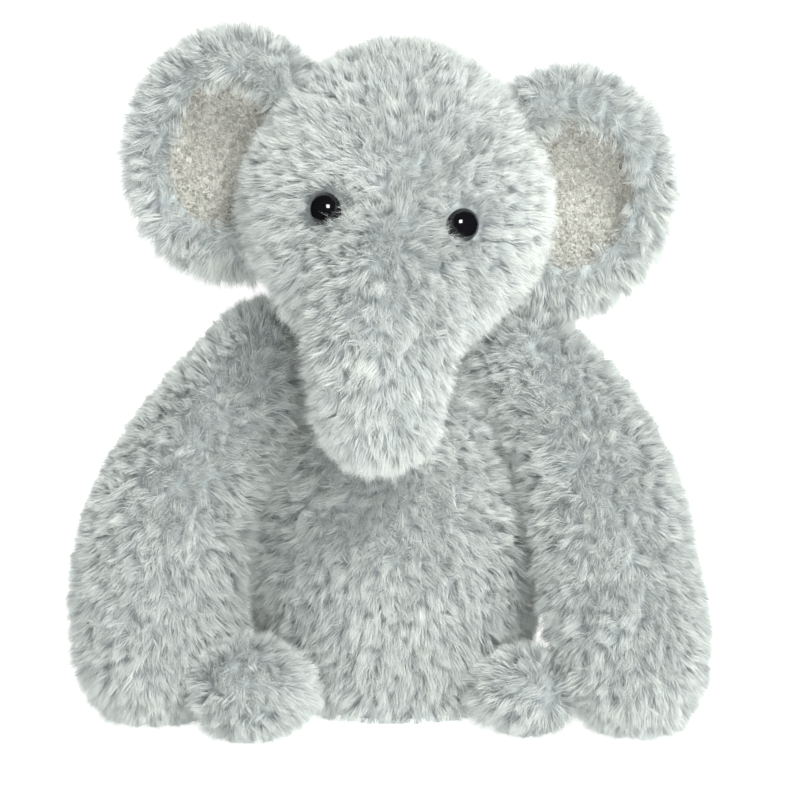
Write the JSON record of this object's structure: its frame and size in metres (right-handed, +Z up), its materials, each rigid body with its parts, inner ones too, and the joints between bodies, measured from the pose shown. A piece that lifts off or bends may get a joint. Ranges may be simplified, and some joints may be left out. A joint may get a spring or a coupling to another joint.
{
  "type": "stuffed elephant",
  "caption": "Sitting plush elephant with a turning head, liftable trunk, cupped ears and long hanging arms, in pale grey long-pile fabric.",
  "frame": {"origin": "centre of the seat's underside, on the surface the toy sits on", "axes": "+Z up, the face towards -Y, +X to the viewer's right"},
  "size_m": [0.2563, 0.1771, 0.2886],
  "materials": {
    "pile": "long soft pile, pale grey with a green-blue cast, darker between the tufts",
    "fleece": "short looped fleece, oatmeal beige",
    "filling": "white polyester fibre",
    "pouch_cloth": "thin woven cotton",
    "eye": "polished black",
    "washer": "plain moulded"
  },
  "bodies": {
    "body": {"seat_base": "pile", "body_skin": "pile", "body_stuffing": "filling", "seat_pellet_pouch": "pouch_cloth"},
    "neck": {"neck_core": "filling"},
    "head": {"head_skin": "pile", "head_stuffing": "filling", "eye_left": "eye", "eye_right": "eye", "eye_washer_left": "washer", "eye_washer_right": "washer"},
    "trunk": {"trunk_skin": "pile", "trunk_stuffing": "filling"},
    "ear_left": {"ear_left_pile": "pile", "ear_left_lining": "fleece", "ear_left_wadding": "filling"},
    "ear_right": {"ear_right_pile": "pile", "ear_right_lining": "fleece", "ear_right_wadding": "filling"},
    "arm_left": {"arm_left_skin": "pile", "arm_left_stuffing": "filling", "paw_left_pellet_pouch": "pouch_cloth"},
    "arm_right": {"arm_right_skin": "pile", "arm_right_stuffing": "filling", "paw_right_pellet_pouch": "pouch_cloth"},
    "leg_left": {"leg_left_skin": "pile", "leg_left_stuffing": "filling"},
    "leg_right": {"leg_right_skin": "pile", "leg_right_stuffing": "filling"},
    "tail": {"tail_skin": "pile", "tail_stuffing": "filling"}
  },
  "joints": [
    {"name": "neck_turn", "type": "hinge", "parent": "body", "child": "neck", "pos_m": [-0.002, -0.004, 0.155], "axis": [0, 0, 1], "range_deg": [-30, 30], "stiffness_Nm_per_rad": 0.4},
    {"name": "neck_nod", "type": "hinge", "parent": "neck", "child": "head", "pos_m": [-0.002, -0.004, 0.168], "axis": [-1, 0, 0], "range_deg": [-8, 18], "stiffness_Nm_per_rad": 1.5},
    {"name": "trunk_lift", "type": "hinge", "parent": "head", "child": "trunk", "pos_m": [-0.00161, -0.05294, 0.19566], "axis": [-0.9934, 0.0173, 0.1132], "range_deg": [-4, 34], "stiffness_Nm_per_rad": 0.3},
    {"name": "ear_left_fold", "type": "hinge", "parent": "head", "child": "ear_left", "pos_m": [-0.05244, 0.00595, 0.23528], "axis": [-0.1132, 0.002, -0.9936], "range_deg": [-8, 20], "stiffness_Nm_per_rad": 0.05},
    {"name": "ear_right_fold", "type": "hinge", "parent": "head", "child": "ear_right", "pos_m": [0.05882, 0.00401, 0.22261], "axis": [0.1132, -0.002, 0.9936], "range_deg": [-8, 20], "stiffness_Nm_per_rad": 0.05},
    {"name": "shoulder_left", "type": "hinge", "parent": "body", "child": "arm_left", "pos_m": [-0.051, -0.002, 0.151], "axis": [-0.7071, 0.7071, 0], "range_deg": [0, 36]},
    {"name": "shoulder_right", "type": "hinge", "parent": "body", "child": "arm_right", "pos_m": [0.051, -0.002, 0.151], "axis": [-0.7071, -0.7071, 0], "range_deg": [0, 36]},
    {"name": "hip_left", "type": "hinge", "parent": "body", "child": "leg_left", "pos_m": [-0.046, -0.036, 0.015], "axis": [-1, 0, 0], "range_deg": [0, 20]},
    {"name": "hip_right", "type": "hinge", "parent": "body", "child": "leg_right", "pos_m": [0.045, -0.037, 0.015], "axis": [-1, 0, 0], "range_deg": [0, 20]},
    {"name": "tail_swing", "type": "hinge", "parent": "body", "child": "tail", "pos_m": [0, 0.059, 0.033], "axis": [0, 0, 1], "range_deg": [-40, 40], "stiffness_Nm_per_rad": 0.01}
  ]
}
